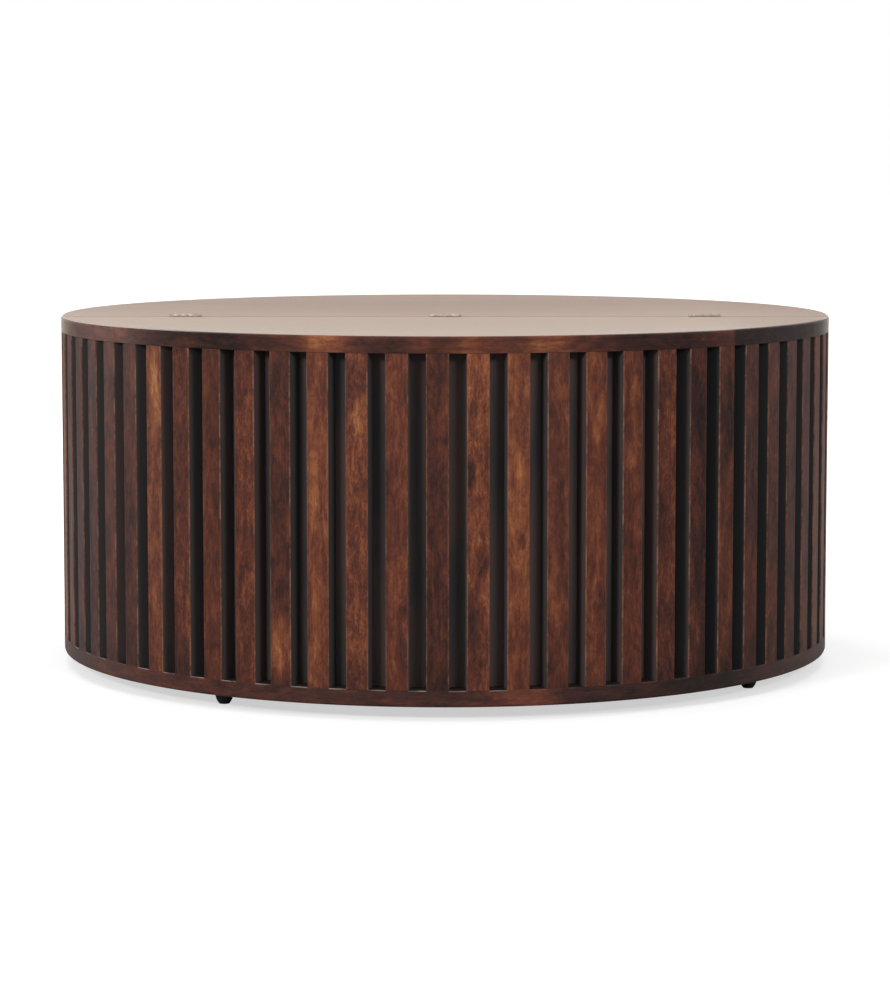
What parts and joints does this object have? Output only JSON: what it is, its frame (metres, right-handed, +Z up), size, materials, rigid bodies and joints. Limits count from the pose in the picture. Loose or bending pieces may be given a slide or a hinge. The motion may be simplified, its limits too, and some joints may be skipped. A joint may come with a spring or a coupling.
{
  "type": "drum coffee table",
  "caption": "Low round wooden drum table with upright slats round a dark wall, a base ring on small feet and a hinged front part of the top over a storage compartment.",
  "frame": {"origin": "centre of the drum on the floor, under the feet", "axes": "+Z up, the front with the hinged lid faces -Y, +X to the right"},
  "size_m": [0.9, 0.9, 0.4094],
  "materials": {
    "top_wood": "satin lacquer over dark brown stain",
    "slat_wood": "satin lacquer over reddish brown stain",
    "base_wood": "satin lacquer over dark brown stain",
    "wall_sheet": "matt near-black brown stain",
    "floor_sheet": "satin dark brown stain",
    "inner_wood": "satin dark brown stain",
    "hinge_metal": "antique brass, darkened",
    "screw_steel": "bronzed steel",
    "foot_plastic": "matt black"
  },
  "bodies": {
    "drum": {"base_ring_1": "base_wood", "base_ring_2": "base_wood", "base_ring_3": "base_wood", "base_ring_4": "base_wood", "base_ring_5": "base_wood", "base_ring_6": "base_wood", "fixed_leaf_screws": "screw_steel", "floor_panel": "floor_sheet", "foot_back_left": "foot_plastic", "foot_back_right": "foot_plastic", "foot_front_left": "foot_plastic", "foot_front_right": "foot_plastic", "foot_screws": "screw_steel", "glue_blocks": "inner_wood", "hinge_leaf_fixed_centre": "hinge_metal", "hinge_leaf_fixed_left": "hinge_metal", "hinge_leaf_fixed_right": "hinge_metal", "hinge_pins": "hinge_metal", "rail_cleats": "inner_wood", "seam_rail": "inner_wood", "slats_01": "slat_wood", "slats_02": "slat_wood", "slats_03": "slat_wood", "slats_04": "slat_wood", "slats_05": "slat_wood", "slats_06": "slat_wood", "slats_07": "slat_wood", "slats_08": "slat_wood", "slats_09": "slat_wood", "slats_10": "slat_wood", "slats_11": "slat_wood", "slats_12": "slat_wood", "slats_13": "slat_wood", "slats_14": "slat_wood", "slats_15": "slat_wood", "slats_16": "slat_wood", "slats_17": "slat_wood", "slats_18": "slat_wood", "slats_19": "slat_wood", "slats_20": "slat_wood", "slats_21": "slat_wood", "slats_22": "slat_wood", "top_board_1": "top_wood", "top_board_2": "top_wood", "top_board_3": "top_wood", "top_board_4": "top_wood", "top_board_5": "top_wood", "top_board_6": "top_wood", "wall_panel_1": "wall_sheet", "wall_panel_2": "wall_sheet", "wall_panel_3": "wall_sheet"},
    "lid": {"hinge_leaf_lid_centre": "hinge_metal", "hinge_leaf_lid_left": "hinge_metal", "hinge_leaf_lid_right": "hinge_metal", "lid_board_1": "top_wood", "lid_board_2": "top_wood", "lid_board_3": "top_wood", "lid_board_4": "top_wood", "lid_leaf_screws": "screw_steel"}
  },
  "joints": [
    {"name": "lid_hinge", "type": "hinge", "parent": "drum", "child": "lid", "pos_m": [0, -0.08, 0.4069], "axis": [-1, 0, 0], "range_deg": [0, 180]}
  ]
}
